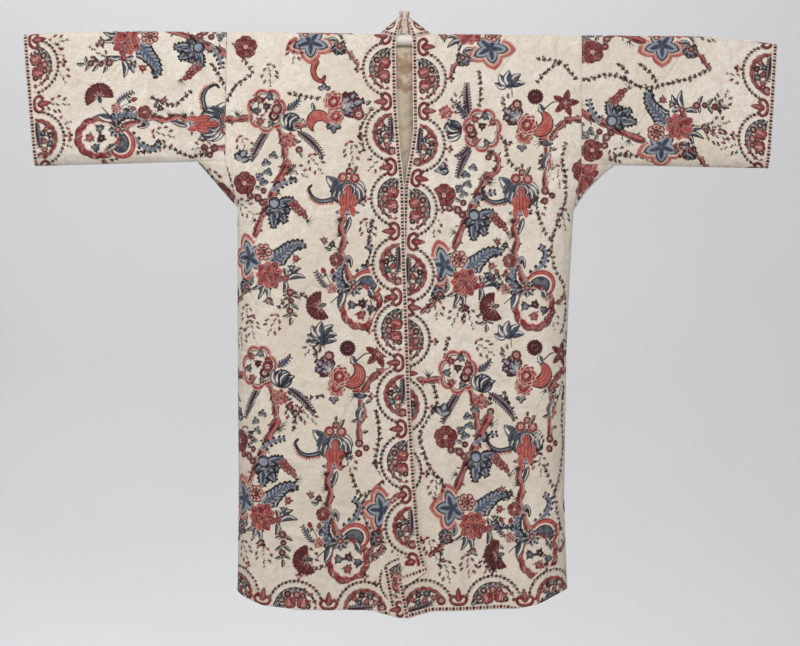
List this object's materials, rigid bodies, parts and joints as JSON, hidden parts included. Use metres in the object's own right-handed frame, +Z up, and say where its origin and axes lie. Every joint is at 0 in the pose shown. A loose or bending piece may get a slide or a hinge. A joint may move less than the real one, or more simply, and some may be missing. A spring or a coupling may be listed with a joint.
{
  "type": "banyan hung on a display rod",
  "caption": "Loose T-shaped open gown of printed cotton with stand collar and underarm gussets, hung through its sleeves on a plain rod.",
  "frame": {"origin": "middle of the rod that the gown hangs on", "axes": "+X along the rod to the right of someone facing the front, -Y out of the front, +Z up"},
  "size_m": [1.6552, 0.1344, 1.332],
  "materials": {
    "chintz": "plain-woven cotton with a soft glaze, painted and dyed in reds, blues and browns",
    "rod": "smooth painted wood, matte off-white"
  },
  "bodies": {
    "root": {"left_front": "chintz", "right_front": "chintz", "back": "chintz", "left_sleeve": "chintz", "right_sleeve": "chintz", "left_gusset": "chintz", "right_gusset": "chintz", "collar": "chintz", "display_rod": "rod"}
  },
  "joints": []
}
